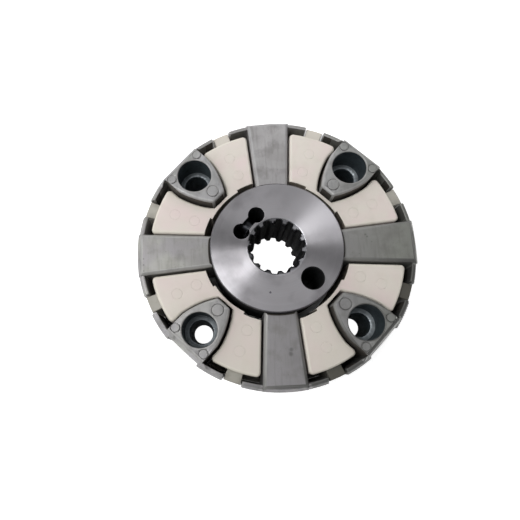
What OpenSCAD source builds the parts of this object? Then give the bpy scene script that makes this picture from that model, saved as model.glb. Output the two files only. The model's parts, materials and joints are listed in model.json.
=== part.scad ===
// Pump drive coupling: a splined clamping hub with four screwed-on jaws, four jaws that bolt to the
// engine flange, and one moulded ring of cushions between the two sets.
// The shaft axis is Z. The flange jaws stand on the flange plane at z = 0. Sizes are in millimetres.

/* [Overall] */
// Diameter over the outer walls of the jaws
outer_d = 202; // [186:1:260]
// Height of the flange jaws above the flange plane
jaw_h = 43; // [36:0.5:60]
// Step from the flange jaws' top down to the hub's top face
hub_drop = 0.7; // [0.2:0.1:3]
// Step from the flange jaws' top down to the hub jaws' top face
hub_jaw_drop = 4.4; // [2:0.1:8]
// Step from the flange jaws' top down to the cushions' top face
cushion_drop = 6.6; // [3:0.1:10]

/* [Hub] */
// Outside diameter of the hub
hub_d = 94.8; // [78:0.1:116]
// Chamfer on the hub's outer edges
hub_edge = 0.8; // [0.3:0.1:2]
// Module of the shaft spline
spline_module = 2.5; // [2:0.1:3]
// Number of spline teeth
spline_teeth = 14; // [12:1:16]
// Turn of the spline in the hub, in degrees
spline_turn = 17.1; // [0:0.1:30]
// Depth of the chamfer at the front mouth of the spline
mouth_depth = 3.2; // [1:0.1:5]
// Depth of the chamfer at the back mouth of the spline
back_mouth_depth = 1; // [0.5:0.1:5]
// Diameter of the blind balance hole
balance_hole_d = 15.5; // [8:0.5:18]
// Direction of the balance hole, in degrees
balance_hole_turn = -46.2; // [-70:0.1:-20]
// Thickness of metal left under the balance hole
balance_floor = 6; // [2:0.5:12]
// Diameter of the punched assembly mark
punch_d = 1.6; // [1:0.1:3]
// Direction of the punched mark, in degrees
punch_turn = -101.5; // [-130:0.5:-60]

/* [Clamping slot] */
// Direction of the clamping slot, in degrees
slot_turn = 136; // [120:1:150]
// Metal between the spline's roots and the slot
slot_web = 2.9; // [2:0.1:5]
// Width of the slot
slot_w = 6.3; // [4:0.1:8]
// Diameter of the round hole at each end of the slot
slot_hole_d = 11.7; // [8:0.1:13]
// Distance between the two round holes
slot_pitch = 16.2; // [12:0.1:20]
// Diameter of the two clamping screws
clamp_screw_d = 10; // [6:1:12]
// Depth of the clamping screws' heads below the hub's surface
clamp_sink = 4.5; // [1:0.1:8]

/* [Flange jaws] */
// Distance from the outer walls in to the bolt circle
bolt_inset = 21; // [18:0.5:26]
// Width of a flange jaw at its bolt
flange_jaw_w = 32.8; // [30:0.1:40]
// Width of a flange jaw at its tip
tip_w = 11.2; // [8:0.1:14]
// Radius of a flange jaw's curved flanks
flank_r = 64; // [50:1:90]
// Clearance hole for the flange bolt, at the flange plane
bolt_hole_d = 14.5; // [10:0.5:16]
// Diameter that this hole widens to at the seat of the bolt's washer
bolt_hole_top_d = 18; // [16:0.5:20]
// Counterbore for the bolt's head and washer
counterbore_d = 24.6; // [20:0.1:27]
// Thickness of metal under the bolt's washer
bolt_seat_h = 23.5; // [15:0.1:32]
// Half angle of a flange jaw's wings, in degrees
flange_wing_a = 19.5; // [18:0.1:20]
// Diameter of the dowel holes in the flange jaws' back faces
dowel_d = 5; // [3:0.5:6]
// Depth of those dowel holes
dowel_depth = 10; // [5:0.5:14]

/* [Hub jaws] */
// Width of a hub jaw at the hub
hub_jaw_w_in = 23.3; // [20:0.1:26]
// Width of a hub jaw at the outside
hub_jaw_w_out = 31.8; // [28:0.1:34]
// Half angle of a hub jaw's wings, in degrees
hub_wing_a = 17.4; // [15:0.1:18]
// Bevel on the long top edges of a hub jaw
hub_jaw_bevel = 1.8; // [0.5:0.1:3]
// Diameter of the jaw screws' thread
jaw_screw_d = 12; // [8:1:14]
// Diameter of the jaw screws' heads
jaw_screw_head_d = 18; // [14:0.5:22]
// Depth of the jaw screws' thread in the hub
screw_grip = 13.7; // [10:0.1:18]
// Length of the spring sleeve round each jaw screw
sleeve_l = 12; // [8:0.5:14]
// Outside diameter of the spring sleeve
sleeve_d = 18; // [16:0.5:19]
// Wall of the spring sleeve
sleeve_wall = 2.5; // [1.5:0.1:2.5]

/* [Wings] */
// Thickness of the jaws' outer wings
wing_t = 4.5; // [3.5:0.1:6]
// Step from the flange jaws' top down to the wings' top
wing_drop = 6.4; // [4:0.1:10]
// Radial width of the pocket between the cushions and the wings
wing_pocket = 4.5; // [3:0.1:7]

/* [Element] */
// Gap between the hub and the bands round the flange jaws' tips
hub_gap = 3.8; // [2:0.1:6]
// Thickness of those bands
band_t = 2.4; // [1.8:0.1:4]
// Clearance round each flange jaw
jaw_gap = 1.6; // [1.3:0.05:2]
// Clearance at each side of a hub jaw
hub_jaw_gap = 1.4; // [1.3:0.05:2]
// Step back of the cushions' inner ends behind the bands
end_step = 1.7; // [0.5:0.1:3]
// Radius of the cushions' outer corners
corner_r = 3; // [1:0.1:4]
// Gap at each side of a lug, in degrees
lug_gap_a = 0.55; // [0.5:0.01:1.2]
// Step from the cushions' top down to the lugs' top
lug_drop = 2.9; // [0:0.1:6]
// Step from the jaws' outer walls in to the lugs' outer faces
lug_inset = 1.4; // [0:0.1:3]
// Thickness of the web that joins the cushions at the back
web_t = 3; // [2:0.1:5]

/* [Hidden] */
$fn = 96;

// Clearance between bodies that turn against each other without touching
slip = 0.3;
// A cut runs this far past the face it opens
past = 1;

// Radii, from the axis
outer_r = outer_d / 2;
hub_r = hub_d / 2;
bolt_r = outer_r - bolt_inset;
wing_in_r = outer_r - wing_t;
cushion_r = wing_in_r - wing_pocket;
band_r = hub_r + hub_gap;
tip_r = band_r + band_t + jaw_gap;

// Heights
hub_h = jaw_h - hub_drop;
hub_jaw_z = web_t + slip + 0.1;
hub_jaw_top = jaw_h - hub_jaw_drop;
wing_top = jaw_h - wing_drop;
cushion_top = jaw_h - cushion_drop;
lug_top = cushion_top - lug_drop;
screw_z = (hub_jaw_z + hub_jaw_top) / 2;

// Slopes of the outer edges: run out and run down of each
flange_end_flat = 3;
flange_end_run = 3.2;
flange_end_fall = 7.6;
hub_end_run = 4.6;
hub_end_fall = 5.6;
wing_edge_run = 2.2;
wing_edge_fall = 4.5;
flange_end_r = outer_r - flange_end_flat;

// Length of the straight stretch at the bolt hole's foot
bolt_land = 4;
// Marks that the ejector pins leave: height of each, and depth and width of the groove round it
mark_h = 0.4;
mark_depth = 0.4;
soft_mark_depth = 0.2;
mark_groove = 0.5;

// Spline: hub teeth of a twenty degree involute with its profile shifted outwards
pitch_r = spline_module * spline_teeth / 2;
root_r = pitch_r + spline_module;
base_r = pitch_r * cos(20);
shift = 0.8 * spline_module;
space_a = (PI * spline_module / 2 + 2 * shift * tan(20)) / (2 * pitch_r) * 180 / PI;

// Flanks of a flange jaw: an arc through its side at the bolt and through its tip
side_at = [flange_jaw_w / 2, bolt_r];
tip_at = [tip_w / 2, tip_r];
flank_run = side_at - tip_at;
flank_reach = sqrt(flank_r * flank_r - flank_run * flank_run / 4);
flank_c = (side_at + tip_at) / 2
    + [-flank_run[1], flank_run[0]] * flank_reach / norm(flank_run);

// Side of a hub jaw: half width is side_0 + side_k * distance from the axis
side_k = (hub_jaw_w_out - hub_jaw_w_in) / 2 / (outer_r - hub_r);
side_0 = hub_jaw_w_in / 2 - side_k * hub_r;
side_a = atan(side_k);

// Slot, measured from the axis to its middle line
slot_r = root_r + slot_web + slot_w / 2;
balance_r = (root_r + hub_r) / 2;

// Screws
screw_seat_r = (hub_r + outer_r) / 2;
screw_l = screw_seat_r - hub_r + screw_grip;
clamp_in_r = slot_r - slot_w / 2;
clamp_l = hub_r - clamp_sink - clamp_in_r;

function inv(a) = tan(a) * 180 / PI - a;
function half_space(r) = space_a + inv(20) - inv(acos(base_r / r));
function at(r, a) = [r * sin(a), r * cos(a)];

// Centre of a corner circle of radius r that touches the line x = a + b * y and the circle of radius rim
function corner_y(a, b, rim) =
    (-a * b + sqrt(a * a * b * b - (1 + b * b) * (a * a - rim * rim))) / (1 + b * b);
function corner_c(a, b, rim) = [a + b * corner_y(a, b, rim), corner_y(a, b, rim)];

// Pie slice about +Y, half angle a, long enough for a circle of radius r
module slice(r, a) {
    polygon([[0, 0], at(1.2 * r / cos(a), -a), at(1.2 * r / cos(a), a)]);
}

// Prism along X whose section in Y and Z is the polygon
module side_profile(points, width) {
    rotate([90, 0, 90]) linear_extrude(width, center = true) polygon(points);
}

// Solid of revolution about +Y, from points of radius and distance from the axis
module turned_out(points) {
    rotate([-90, 0, 0]) rotate_extrude() polygon(points);
}

// Outline of the shaft spline, as the void in the hub
module spline_outline() {
    flank = [for (i = [0:4]) pitch_r - 0.1 + (root_r - pitch_r + 0.1) * i / 4];
    polygon([for (t = [0:spline_teeth - 1], s = [-1, 1], i = [0:4])
        let (r = flank[s < 0 ? i : 4 - i])
        at(r, t * 360 / spline_teeth + s * half_space(max(r, base_r)))]);
}

// Outline of the clamping slot: a straight slot with a round hole at each end
module slot_outline() {
    translate([-slot_pitch / 2, slot_r - slot_w / 2]) square([slot_pitch, slot_w]);
    for (s = [-1, 1]) translate([s * slot_pitch / 2, slot_r]) circle(d = slot_hole_d);
}

// Chamfer of the given depth at a mouth of the spline, as the void at z = 0
module spline_mouth(depth) {
    foot = pitch_r - 0.3;
    slope = (root_r + 0.9 - pitch_r + 0.3) / mouth_depth;
    translate([0, 0, -past]) cylinder(h = depth + past, r1 = foot + (depth + past) * slope, r2 = foot);
}

module hub() {
    color([0.55, 0.54, 0.56]) difference() {
        rotate_extrude() polygon([
            [0, 0], [hub_r - hub_edge, 0], [hub_r, hub_edge],
            [hub_r, hub_h - hub_edge], [hub_r - hub_edge, hub_h], [0, hub_h]]);
        translate([0, 0, -past]) linear_extrude(hub_h + 2 * past)
            rotate(spline_turn - 90 + 180 / spline_teeth) spline_outline();
        spline_mouth(back_mouth_depth);
        translate([0, 0, hub_h]) mirror([0, 0, 1]) spline_mouth(mouth_depth);
        rotate(slot_turn - 90) {
            translate([0, 0, -past]) linear_extrude(hub_h + 2 * past) slot_outline();
            for (k = [0.25, 0.75]) translate([0, slot_r, k * hub_h])
                turned_out([[0, 0], [clamp_screw_d / 2, 0], [clamp_screw_d / 2, hub_r], [0, hub_r]]);
        }
        rotate(balance_hole_turn) translate([balance_r, 0, 0]) rotate_extrude() polygon([
            [0, balance_floor], [balance_hole_d / 2, balance_floor + 2],
            [balance_hole_d / 2, hub_h - 0.6], [balance_hole_d / 2 + 1.6, hub_h + past], [0, hub_h + past]]);
        rotate(punch_turn) translate([balance_r, 0, hub_h - punch_d / 2])
            cylinder(h = punch_d, r1 = 0, r2 = punch_d);
        for (q = [0:3]) rotate(90 * q) translate([0, 0, screw_z]) turned_out([
            [0, hub_r - screw_grip - 5], [jaw_screw_d / 2, hub_r - screw_grip - 2],
            [jaw_screw_d / 2, hub_r - sleeve_l / 2], [sleeve_d / 2, hub_r - sleeve_l / 2],
            [sleeve_d / 2, hub_r + past], [0, hub_r + past]]);
    }
}

// Outline of a flange jaw's body, grown outwards by the given amount
module flange_jaw_outline(grow) {
    half = flange_jaw_w / 2 + grow;
    translate([-half, bolt_r]) square([2 * half, outer_r - bolt_r + grow]);
    intersection() {
        translate([flank_c[0], flank_c[1]]) circle(r = flank_r + grow);
        translate([-flank_c[0], flank_c[1]]) circle(r = flank_r + grow);
        translate([-flange_jaw_w / 2 - grow, tip_r - grow])
            square([flange_jaw_w + 2 * grow, outer_r - tip_r + 2 * grow]);
    }
}

// Mark of an ejector pin of radius r on a face at z = 0, as the disc or as the groove round it
module mark_disc(r) {
    translate([0, 0, -past]) cylinder(h = mark_h + past, r = r);
}

module mark_ring(r, depth) {
    rotate_extrude() translate([r, -depth]) square([mark_groove, depth + past]);
}

module flange_jaw() {
    marks = [[0, tip_r + 6.4, 3.9], [-13.2, outer_r - 11, 2.9], [13.2, outer_r - 11, 2.9]];
    difference() {
        union() {
            intersection() {
                linear_extrude(jaw_h) flange_jaw_outline(0);
                side_profile([[0, 0], [flange_end_r, 0], [flange_end_r, jaw_h - flange_end_fall],
                    [flange_end_r - flange_end_run, jaw_h], [0, jaw_h]], 2 * outer_r);
            }
            flange_wings();
            for (m = marks) translate([m[0], m[1], jaw_h]) mark_disc(m[2]);
        }
        for (m = marks) translate([m[0], m[1], jaw_h]) mark_ring(m[2], mark_depth);
        translate([0, bolt_r, 0]) rotate_extrude() polygon([
            [0, -past], [bolt_hole_d / 2, -past], [bolt_hole_d / 2, bolt_land],
            [bolt_hole_top_d / 2, bolt_seat_h], [counterbore_d / 2, bolt_seat_h],
            [counterbore_d / 2, jaw_h - 0.5], [counterbore_d / 2 + 0.5 + past, jaw_h + past],
            [0, jaw_h + past]]);
        for (m = marks) translate([m[0], m[1], -past]) cylinder(h = dowel_depth + past, d = dowel_d);
    }
}

// Ring that the wings are cut from: it slopes out and down along its outer edge. The high one
// goes on up to the flange jaws' top
module wing_ring(z, inner, high) {
    edge = [[outer_r, wing_top - wing_edge_fall], [outer_r - wing_edge_run, wing_top]];
    crown = high ? [[flange_end_r - flange_end_run, jaw_h], [0, jaw_h]] : [[0, wing_top]];
    difference() {
        rotate_extrude() polygon(concat([[0, z], [outer_r, z]], edge, crown));
        translate([0, 0, z - past]) cylinder(h = jaw_h + 2 * past, r = inner);
    }
}

// The two wings of a flange jaw, with the ramps that lead up to its top face
module flange_wings() {
    half = flange_jaw_w / 2;
    intersection() {
        union() {
            intersection() {
                wing_ring(0, wing_in_r, true);
                linear_extrude(jaw_h) slice(outer_r, flange_wing_a);
            }
            intersection() {
                wing_ring(0, wing_in_r - wing_t, true);
                translate([-half, 0, 0]) cube([2 * half, outer_r, jaw_h]);
            }
        }
        difference() {
            rotate([90, 0, 0]) mirror([0, 0, 1]) linear_extrude(outer_r + past) polygon([
                [-outer_r, 0], [outer_r, 0], [outer_r, wing_top], [half + 4.1, wing_top],
                [half - 0.6, jaw_h - 0.4], [-half + 0.6, jaw_h - 0.4], [-half - 4.1, wing_top],
                [-outer_r, wing_top]]);
            translate([-half + 2.4, 0, -past]) cube([2 * half - 4.8, outer_r + past, jaw_h + 2 * past]);
        }
    }
}

// Outline of a hub jaw's body, its sides moved out by the given amount
module hub_jaw_outline(grow, far) {
    g = grow / cos(side_a);
    near = hub_r * 0.9;
    polygon([[-side_0 - side_k * near - g, near], [side_0 + side_k * near + g, near],
        [side_0 + side_k * far + g, far], [-side_0 - side_k * far - g, far]]);
}

module hub_jaw() {
    edge_w = side_0 + side_k * screw_seat_r;
    difference() {
        union() {
            intersection() {
                linear_extrude(jaw_h) intersection() {
                    hub_jaw_outline(0, outer_r + past);
                    circle(r = outer_r);
                }
                side_profile([[0, hub_jaw_z], [outer_r, hub_jaw_z], [outer_r, hub_jaw_top - hub_end_fall],
                    [outer_r - hub_end_run, hub_jaw_top], [0, hub_jaw_top]], 2 * outer_r);
            }
            intersection() {
                wing_ring(hub_jaw_z, wing_in_r, false);
                linear_extrude(jaw_h) slice(outer_r, hub_wing_a);
            }
        }
        translate([0, 0, hub_jaw_z - past]) cylinder(h = jaw_h, r = hub_r);
        for (s = [-1, 1]) translate([s * edge_w, screw_seat_r, hub_jaw_top])
            rotate([0, 0, -s * side_a]) rotate([0, 45, 0])
            cube([hub_jaw_bevel * sqrt(2), 2 * outer_r, hub_jaw_bevel * sqrt(2)], center = true);
        translate([0, 0, screw_z]) turned_out([
            [0, 0], [sleeve_d / 2, 0], [sleeve_d / 2, hub_r + sleeve_l / 2],
            [jaw_screw_d / 2 + 0.75, hub_r + sleeve_l / 2], [jaw_screw_d / 2 + 0.75, screw_seat_r],
            [jaw_screw_head_d / 2 + 1, screw_seat_r], [jaw_screw_head_d / 2 + 1, outer_r + past],
            [0, outer_r + past]]);
    }
}

// Hexagonal prism along +Y with the given distance across its flats
module hex_out(across, from, to) {
    translate([0, from, 0]) rotate([-90, 0, 0]) cylinder(h = to - from, d = across / cos(30), $fn = 6);
}

module jaw_screw() {
    head_l = jaw_screw_d;
    color([0.12, 0.12, 0.13]) translate([0, 0, screw_z]) difference() {
        turned_out([
            [0, screw_seat_r - screw_l], [jaw_screw_d / 2 - 1, screw_seat_r - screw_l],
            [jaw_screw_d / 2, screw_seat_r - screw_l + 1], [jaw_screw_d / 2, screw_seat_r],
            [jaw_screw_head_d / 2, screw_seat_r], [jaw_screw_head_d / 2, screw_seat_r + head_l - 0.8],
            [jaw_screw_head_d / 2 - 0.8, screw_seat_r + head_l], [0, screw_seat_r + head_l]]);
        hex_out(jaw_screw_d * 5 / 6, screw_seat_r + head_l / 2, screw_seat_r + head_l + past);
    }
}

module spring_sleeve() {
    color([0.3, 0.3, 0.32]) translate([0, 0, screw_z]) difference() {
        turned_out([
            [sleeve_d / 2 - sleeve_wall, hub_r - sleeve_l / 2], [sleeve_d / 2, hub_r - sleeve_l / 2],
            [sleeve_d / 2, hub_r + sleeve_l / 2], [sleeve_d / 2 - sleeve_wall, hub_r + sleeve_l / 2]]);
        translate([-0.75, hub_r - sleeve_l / 2 - past, 0]) cube([1.5, sleeve_l + 2 * past, sleeve_d]);
    }
}

module clamp_screw(k) {
    r = clamp_screw_d / 2;
    color([0.12, 0.12, 0.13]) rotate(slot_turn - 90) translate([0, 0, k * hub_h]) difference() {
        turned_out([
            [0, clamp_in_r], [r - 1.5, clamp_in_r], [r, clamp_in_r + 1.5],
            [r, clamp_in_r + clamp_l - 0.5], [r - 0.5, clamp_in_r + clamp_l], [0, clamp_in_r + clamp_l]]);
        hex_out(r, clamp_in_r + clamp_l - r, clamp_in_r + clamp_l + past);
    }
}

// Piece to cut away so that a cushion's outer corner becomes round
module corner_cut(a, b) {
    c = corner_c(a + corner_r / cos(atan(b)), b, cushion_r - corner_r);
    sharp = corner_c(a, b, cushion_r);
    on_rim = c * cushion_r / norm(c);
    on_side = c - corner_r * [cos(atan(b)), -sin(atan(b))];
    difference() {
        polygon([c, on_side, c + 1.4 * (sharp - c), on_rim]);
        translate(c) circle(r = corner_r);
    }
}

// The same cut at both sides of a gap
module corner_cuts(a, b) {
    corner_cut(a, b);
    mirror([1, 0]) corner_cut(a, b);
}

// Outline of the cushions and of the bands that join them
module cushion_outline() {
    difference() {
        circle(r = cushion_r);
        circle(r = band_r);
        for (q = [0:3]) rotate(90 * q) {
            intersection() {
                circle(r = band_r + end_step);
                slice(outer_r, 29);
            }
            hub_jaw_outline(hub_jaw_gap, outer_r);
            corner_cuts(side_0 + hub_jaw_gap / cos(side_a), side_k);
            rotate(45) {
                flange_jaw_outline(jaw_gap);
                corner_cuts(flange_jaw_w / 2 + jaw_gap, 0);
            }
        }
    }
}

// Outline of the lugs that stand out between the wings' ends
module lug_outline() {
    difference() {
        circle(r = outer_r - lug_inset);
        circle(r = cushion_r - corner_r);
        for (q = [0:3]) rotate(90 * q) {
            slice(outer_r, hub_wing_a + lug_gap_a);
            rotate(45) slice(outer_r, flange_wing_a + lug_gap_a);
        }
    }
}

// Outline of the thin web at the back
module web_outline() {
    difference() {
        circle(r = wing_in_r - slip);
        circle(r = band_r + end_step / 2);
        for (q = [0:3]) rotate(90 * q + 45) flange_jaw_outline(jaw_gap);
    }
}

module element() {
    mark_r = [cushion_r - 14, band_r + 11.5];
    color([0.86, 0.82, 0.78]) difference() {
        union() {
            linear_extrude(cushion_top) cushion_outline();
            linear_extrude(lug_top) lug_outline();
            linear_extrude(web_t) web_outline();
        }
        for (q = [0:7], r = mark_r) rotate(45 * q + 22.5) translate([r, 0, cushion_top])
            mark_ring(3.6, soft_mark_depth);
    }
}

module flange_jaw_at(k) {
    color([0.6, 0.6, 0.6]) rotate(90 * k - 135) flange_jaw();
}

module hub_jaw_at(k) {
    color([0.66, 0.66, 0.65]) rotate(90 * k - 90) hub_jaw();
}

module jaw_screw_at(k) {
    rotate(90 * k - 90) jaw_screw();
}

module spring_sleeve_at(k) {
    rotate(90 * k - 90) spring_sleeve();
}

hub();
element();
flange_jaw_at(1);  // flange_jaw_1
flange_jaw_at(2);  // flange_jaw_2
flange_jaw_at(3);  // flange_jaw_3
flange_jaw_at(4);  // flange_jaw_4
hub_jaw_at(1);  // hub_jaw_1
hub_jaw_at(2);  // hub_jaw_2
hub_jaw_at(3);  // hub_jaw_3
hub_jaw_at(4);  // hub_jaw_4
jaw_screw_at(1);  // jaw_screw_1
jaw_screw_at(2);  // jaw_screw_2
jaw_screw_at(3);  // jaw_screw_3
jaw_screw_at(4);  // jaw_screw_4
spring_sleeve_at(1);  // spring_sleeve_1
spring_sleeve_at(2);  // spring_sleeve_2
spring_sleeve_at(3);  // spring_sleeve_3
spring_sleeve_at(4);  // spring_sleeve_4
clamp_screw(0.25);  // clamp_screw_1
clamp_screw(0.75);  // clamp_screw_2
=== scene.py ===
"""Looks of an elastic shaft coupling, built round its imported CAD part.

Sizes and places are in millimetres, and MM turns them into the frame's metres.
"""

import json
import logging
import math
from contextlib import contextmanager
from dataclasses import dataclass
from enum import Enum
from typing import Callable, Iterator, NamedTuple

import bmesh
import bpy
from mathutils import Matrix, Vector

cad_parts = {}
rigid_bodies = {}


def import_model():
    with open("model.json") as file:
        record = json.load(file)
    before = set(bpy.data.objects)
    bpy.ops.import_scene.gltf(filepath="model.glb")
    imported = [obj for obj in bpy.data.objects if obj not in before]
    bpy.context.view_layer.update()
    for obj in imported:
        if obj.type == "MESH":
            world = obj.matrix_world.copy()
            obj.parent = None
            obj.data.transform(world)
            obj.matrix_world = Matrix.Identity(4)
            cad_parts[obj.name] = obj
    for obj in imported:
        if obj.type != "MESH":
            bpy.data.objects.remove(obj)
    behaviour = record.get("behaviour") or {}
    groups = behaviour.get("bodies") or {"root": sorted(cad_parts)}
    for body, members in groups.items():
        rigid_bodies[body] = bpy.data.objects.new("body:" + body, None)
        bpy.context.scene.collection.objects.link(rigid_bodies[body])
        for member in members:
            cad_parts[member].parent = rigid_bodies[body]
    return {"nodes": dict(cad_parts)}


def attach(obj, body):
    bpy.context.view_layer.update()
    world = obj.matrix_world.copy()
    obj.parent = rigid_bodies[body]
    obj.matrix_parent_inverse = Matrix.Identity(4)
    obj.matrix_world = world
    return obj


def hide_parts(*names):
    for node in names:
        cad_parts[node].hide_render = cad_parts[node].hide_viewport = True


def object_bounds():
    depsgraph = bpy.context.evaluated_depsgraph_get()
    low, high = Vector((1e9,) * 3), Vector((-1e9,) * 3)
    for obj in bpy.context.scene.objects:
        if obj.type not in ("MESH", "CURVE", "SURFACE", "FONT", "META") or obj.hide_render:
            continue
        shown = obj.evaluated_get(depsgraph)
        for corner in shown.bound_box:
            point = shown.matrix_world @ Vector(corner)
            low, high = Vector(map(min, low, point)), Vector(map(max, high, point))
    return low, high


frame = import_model()
CAD_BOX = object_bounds()

MM = 0.001
QUARTER = math.pi / 2
JAWS = range(1, 5)

# Edges that turn by more than SHARP are rounded. Shading is smooth across those that turn by less than SMOOTH
SHARP = math.radians(30)
SMOOTH = math.radians(38)
# Neighbouring faces that turn by less than this are joined to one
FLAT = math.radians(0.6)
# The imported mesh's points are one point when they are closer than this, in metres
SAME_POINT = 2e-6
# How far the visual model stays inside the CAD box, in metres: more than a rounding error
INSIDE = 1e-8
# How much a large face counts against a small one where a smooth normal is worked out, in percent
FACE_WEIGHT = 60

# A face is a wall below the first value of its normal's upright part, and level above the second
WALL = 0.3
LEVEL = 0.98
# Steep covers walls with their draught and the roundings next to them
STEEP = 0.6
# How near a plane a face's middle counts as lying in it
TOUCH = 0.1

# The colour inputs and the colour output of a mix node
MIX_UNDER, MIX_OVER, MIX_RESULT = 6, 7, 2
# The span that most of a noise's values lie in, for the nodes that turn a noise into a roughness
NOISE_SPAN = {"From Min": 0.3, "From Max": 0.7}

Tree = bpy.types.NodeTree
Node = bpy.types.Node
Socket = bpy.types.NodeSocket
Colour = str | Node | Socket

log = logging.getLogger("coupling")


class Body(Enum):
    """The rigid bodies that pieces ride on."""

    FLANGE = "flange_half"
    RING = "cushion_ring"
    HUB = "hub_half"


class Pick(Enum):
    """What is selected in edit mode."""

    POINTS = "VERT"
    EDGES = "EDGE"


class Kind(Enum):
    """The shader nodes in use."""

    PLACE = "ShaderNodeTexCoord"
    NOISE = "ShaderNodeTexNoise"
    MATH = "ShaderNodeMath"
    VECTOR = "ShaderNodeVectorMath"
    SPLIT = "ShaderNodeSeparateXYZ"
    JOIN = "ShaderNodeCombineXYZ"
    RANGE = "ShaderNodeMapRange"
    MIX = "ShaderNodeMix"
    BUMP = "ShaderNodeBump"
    TANGENT = "ShaderNodeTangent"
    SURFACE = "ShaderNodeBsdfPrincipled"
    PAPER = "ShaderNodeBsdfDiffuse"
    GLOW = "ShaderNodeEmission"
    SUM = "ShaderNodeAddShader"
    EITHER = "ShaderNodeMixShader"
    RAY = "ShaderNodeLightPath"
    COMPASS = "ShaderNodeTexGradient"
    RAMP = "ShaderNodeValToRGB"
    SKY = "ShaderNodeBackground"
    MATERIAL_OUT = "ShaderNodeOutputMaterial"
    WORLD_OUT = "ShaderNodeOutputWorld"


class Spot(NamedTuple):
    """A place on a piece, as its own drawing gives it."""

    across: float
    out: float
    z: float

    @property
    def radius(self) -> float:
        """Distance from the shaft axis."""
        return math.hypot(self.across, self.out)


class Zone(NamedTuple):
    """A round zone of a drawing, seen along the shaft axis."""

    across: float
    out: float
    reach: float

    def away(self, spot: Spot) -> float:
        """Gives how far a place lies outside the zone. It is below zero inside."""
        return math.hypot(spot.across - self.across, spot.out - self.out) - self.reach


@dataclass(frozen=True)
class Drawing:
    """Turns points of the frame into places on a piece that looks outwards along one direction."""

    degrees: float

    def spot(self, point: Vector) -> Spot:
        """Gives the place of a point.

        Args:
            point: A point of the frame, in metres.

        Returns:
            Its distance across the piece, out from the shaft axis, and up.
        """
        turn = math.radians(self.degrees)
        out = point.x * math.cos(turn) + point.y * math.sin(turn)
        across = point.x * math.sin(turn) - point.y * math.cos(turn)
        return Spot(across / MM, out / MM, point.z / MM)


FaceTest = Callable[[Spot, Vector], bool]
EdgeWidth = Callable[[Spot, float], float]


def linear(colour: str) -> tuple[float, float, float, float]:
    """Turns an sRGB hex colour into the linear colour that a shader socket takes.

    Args:
        colour: Six hex digits with a leading hash sign.

    Returns:
        Red, green and blue in linear light, and an alpha of one.
    """
    parts = [int(colour[i : i + 2], 16) / 255 for i in (1, 3, 5)]
    red, green, blue = (c / 12.92 if c <= 0.04045 else ((c + 0.055) / 1.055) ** 2.4 for c in parts)
    return red, green, blue, 1.0


def deselect_all() -> None:
    """Deselects every object."""
    for other in bpy.context.view_layer.objects:
        other.select_set(False)


def pick_only(piece: bpy.types.Object) -> None:
    """Selects one piece and nothing else, and makes it the active one.

    Args:
        piece: The object to select.
    """
    deselect_all()
    piece.hide_viewport = False
    piece.select_set(True)
    bpy.context.view_layer.objects.active = piece


@contextmanager
def editing(piece: bpy.types.Object, pick: Pick) -> Iterator[None]:
    """Opens a piece in edit mode with nothing selected, and closes it again.

    Args:
        piece: The mesh object to edit.
        pick: Which elements are selected.

    Yields:
        Nothing. The edit operators run inside the with block.
    """
    pick_only(piece)
    bpy.ops.object.mode_set(mode="EDIT")
    bpy.ops.mesh.select_mode(type=pick.value)
    bpy.ops.mesh.select_all(action="DESELECT")
    try:
        yield
    finally:
        bpy.ops.object.mode_set(mode="OBJECT")


def apply_modifier(piece: bpy.types.Object, kind: str, **settings: object) -> None:
    """Adds a modifier to a piece and applies it.

    Args:
        piece: The object to change.
        kind: The modifier's type, such as BEVEL.
        settings: The modifier's properties.
    """
    pick_only(piece)
    modifier = piece.modifiers.new(kind.title(), kind)
    for key, value in settings.items():
        setattr(modifier, key, value)
    bpy.ops.object.modifier_apply(modifier=modifier.name)


def merged_copy(node: str, name: str) -> bpy.types.Object:
    """Copies a CAD node's mesh into a new piece, merges its loose triangles and joins its flat faces.

    Args:
        node: The CAD node's name.
        name: The new piece's name.

    Returns:
        The new object, which rides on nothing yet.
    """
    source = frame["nodes"][node]
    piece = bpy.data.objects.new(name, source.data.copy())
    piece.data.materials.clear()
    bpy.context.scene.collection.objects.link(piece)
    with editing(piece, Pick.POINTS):
        bpy.ops.mesh.select_all(action="SELECT")
        bpy.ops.mesh.remove_doubles(threshold=SAME_POINT)
        bpy.ops.mesh.dissolve_limited(angle_limit=FLAT)
        bpy.ops.mesh.quads_convert_to_tris(quad_method="BEAUTY", ngon_method="BEAUTY")
    return piece


def turned_copy(piece: bpy.types.Object, name: str, quarters: int) -> bpy.types.Object:
    """Copies a piece with its own mesh, turned about the shaft axis by quarter turns.

    Args:
        piece: The object to copy.
        name: The copy's name.
        quarters: How many quarter turns, anticlockwise seen from the top.

    Returns:
        The new object, unturned, with its place in its mesh.
    """
    copy = bpy.data.objects.new(name, piece.data.copy())
    bpy.context.scene.collection.objects.link(copy)
    copy.data.transform(Matrix.Rotation(quarters * QUARTER, 4, "Z"))
    return copy


def keep_inside(piece: bpy.types.Object) -> None:
    """Takes back the last rounding errors that carry a piece's points past the CAD model's box.

    Args:
        piece: The finished piece.
    """
    low, high = CAD_BOX
    for vertex in piece.data.vertices:
        vertex.co = [min(max(c, a + INSIDE), b - INSIDE) for c, a, b in zip(vertex.co, low, high)]


def seat(piece: bpy.types.Object, body: Body, slot: str, *nodes: str) -> None:
    """Puts a finished piece on its body, in place of CAD nodes.

    Args:
        piece: The finished piece.
        body: The body that it rides on.
        slot: The record's material slot, which is not used.
        nodes: The CAD nodes that it stands for.
    """
    keep_inside(piece)
    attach(piece, body.value)
    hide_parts(*nodes)
    log.info("%s: %d faces, on %s", piece.name, len(piece.data.polygons), body.value)


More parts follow.
